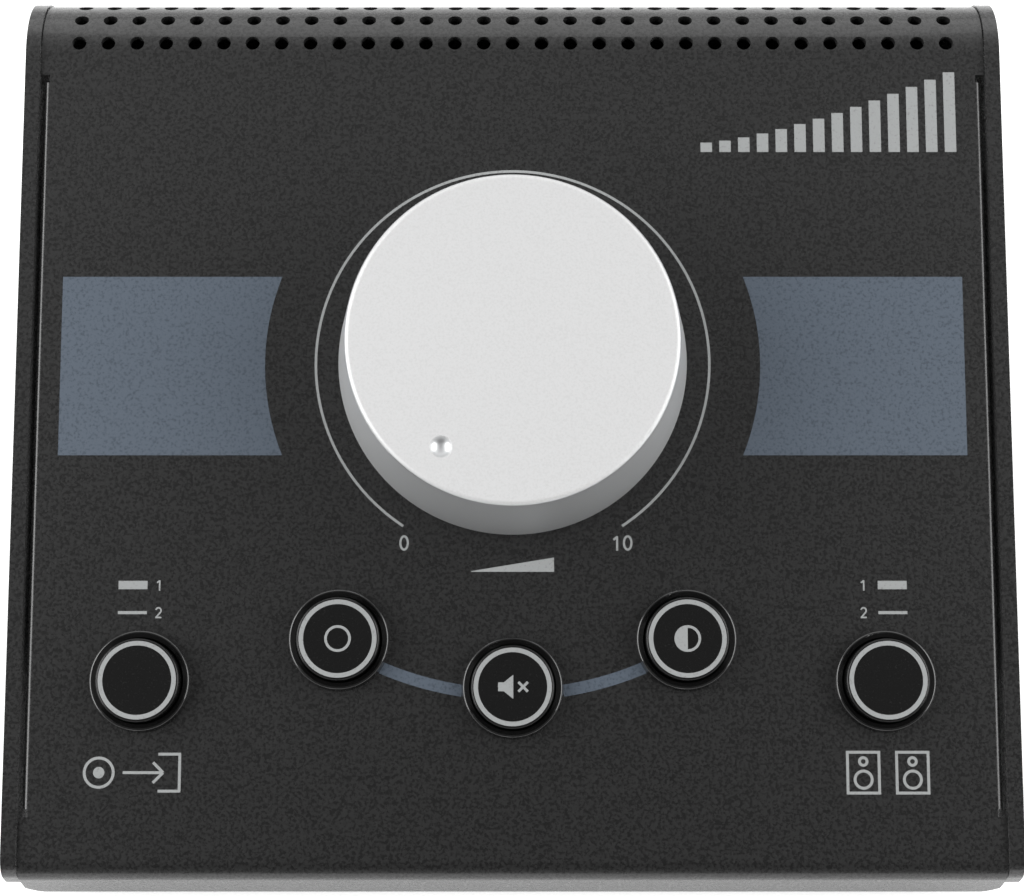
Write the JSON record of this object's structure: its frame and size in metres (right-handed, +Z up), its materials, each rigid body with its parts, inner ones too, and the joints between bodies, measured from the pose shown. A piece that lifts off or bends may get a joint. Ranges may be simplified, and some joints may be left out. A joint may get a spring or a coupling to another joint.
{
  "type": "studio monitor controller",
  "caption": "Desktop studio monitor controller: sloped steel case with a large volume knob, latching selector and mode push buttons, and rear audio sockets.",
  "frame": {"origin": "middle of the bounding box at the level of the feet", "axes": "+X to the user's right, +Y to the back wall with the sockets, +Z up"},
  "size_m": [0.1614, 0.1454, 0.0664],
  "materials": {
    "powder_coat": "fine-textured charcoal powder coat",
    "black_screw": "black oxide",
    "plain_screw": "zinc plated",
    "knob_aluminium": "fine bead-blasted, clear anodised",
    "inner_plastic": "matte black",
    "steel": "plain",
    "nickel": "nickel plated",
    "phenolic": "brown laminate",
    "track": "carbon track",
    "pin_metal": "tinned",
    "circuit_board": "solder mask",
    "gloss_black": "polished",
    "cap_black": "satin face, polished edge",
    "cream_plastic": "plain",
    "switch_plastic": "plain",
    "spring_steel": "drawn wire",
    "resistor": "plain",
    "jack_plastic": "plain",
    "ribbon_grey": "ribbed",
    "lead_red": "smooth",
    "rubber": "moulded"
  },
  "bodies": {
    "case": {"base_screws": "black_screw", "base_tray": "powder_coat", "board_resistors": "resistor", "board_screws": "plain_screw", "board_standoffs": "steel", "cheek_screws": "black_screw", "control_board": "circuit_board", "dim_bezel": "gloss_black", "dim_spring": "spring_steel", "dim_switch": "switch_plastic", "jack_board": "circuit_board", "jack_nuts": "nickel", "jack_pins": "pin_metal", "left_cheek": "powder_coat", "mini_jack": "jack_plastic", "mini_jack_leads": "lead_red", "monitor_a_jacks": "jack_plastic", "monitor_b_jacks": "jack_plastic", "monitor_bezel": "gloss_black", "monitor_spring": "spring_steel", "monitor_switch": "switch_plastic", "mono_bezel": "gloss_black", "mono_spring": "spring_steel", "mono_switch": "switch_plastic", "mute_bezel": "gloss_black", "mute_spring": "spring_steel", "mute_switch": "switch_plastic", "pot_board": "circuit_board", "pot_bushing": "steel", "pot_gang_cases": "phenolic", "pot_nut": "nickel", "pot_pins": "pin_metal", "pot_track_wafers": "track", "pot_washer": "nickel", "rear_screws": "black_screw", "ribbon_cable": "ribbon_grey", "ribbon_plugs": "inner_plastic", "right_cheek": "powder_coat", "rubber_feet": "rubber", "source_a_jacks": "jack_plastic", "source_b_jacks": "jack_plastic", "source_bezel": "gloss_black", "source_spring": "spring_steel", "source_switch": "switch_plastic", "switch_pins": "pin_metal", "top_cover": "powder_coat"},
    "volume_control": {"volume_knob": "knob_aluminium", "knob_hub": "inner_plastic", "pot_shaft": "steel", "pot_wipers": "cream_plastic"},
    "source_push": {"source_button": "cap_black", "source_plunger": "cream_plastic"},
    "mono_push": {"mono_button": "cap_black", "mono_plunger": "cream_plastic"},
    "mute_push": {"mute_button": "cap_black", "mute_plunger": "cream_plastic"},
    "dim_push": {"dim_button": "cap_black", "dim_plunger": "cream_plastic"},
    "monitor_push": {"monitor_button": "cap_black", "monitor_plunger": "cream_plastic"}
  },
  "joints": [
    {"name": "volume_turn", "type": "hinge", "parent": "case", "child": "volume_control", "pos_m": [0, 0.0059, 0.03876], "axis": [0, -0.2924, 0.9563], "range_deg": [-294, 0]},
    {"name": "source_press", "type": "slide", "parent": "case", "child": "source_push", "axis": [0, 0.2924, -0.9563], "range_m": [0, 0.0025], "stiffness_N_per_m": 600, "springref_m": -0.002, "deforming": ["source_spring"]},
    {"name": "mono_press", "type": "slide", "parent": "case", "child": "mono_push", "axis": [0, 0.2924, -0.9563], "range_m": [0, 0.0025], "stiffness_N_per_m": 600, "springref_m": -0.002, "deforming": ["mono_spring"]},
    {"name": "mute_press", "type": "slide", "parent": "case", "child": "mute_push", "axis": [0, 0.2924, -0.9563], "range_m": [0, 0.0025], "stiffness_N_per_m": 600, "springref_m": -0.002, "deforming": ["mute_spring"]},
    {"name": "dim_press", "type": "slide", "parent": "case", "child": "dim_push", "axis": [0, 0.2924, -0.9563], "range_m": [0, 0.0025], "stiffness_N_per_m": 600, "springref_m": -0.002, "deforming": ["dim_spring"]},
    {"name": "monitor_press", "type": "slide", "parent": "case", "child": "monitor_push", "axis": [0, 0.2924, -0.9563], "range_m": [0, 0.0025], "stiffness_N_per_m": 600, "springref_m": -0.002, "deforming": ["monitor_spring"]}
  ]
}
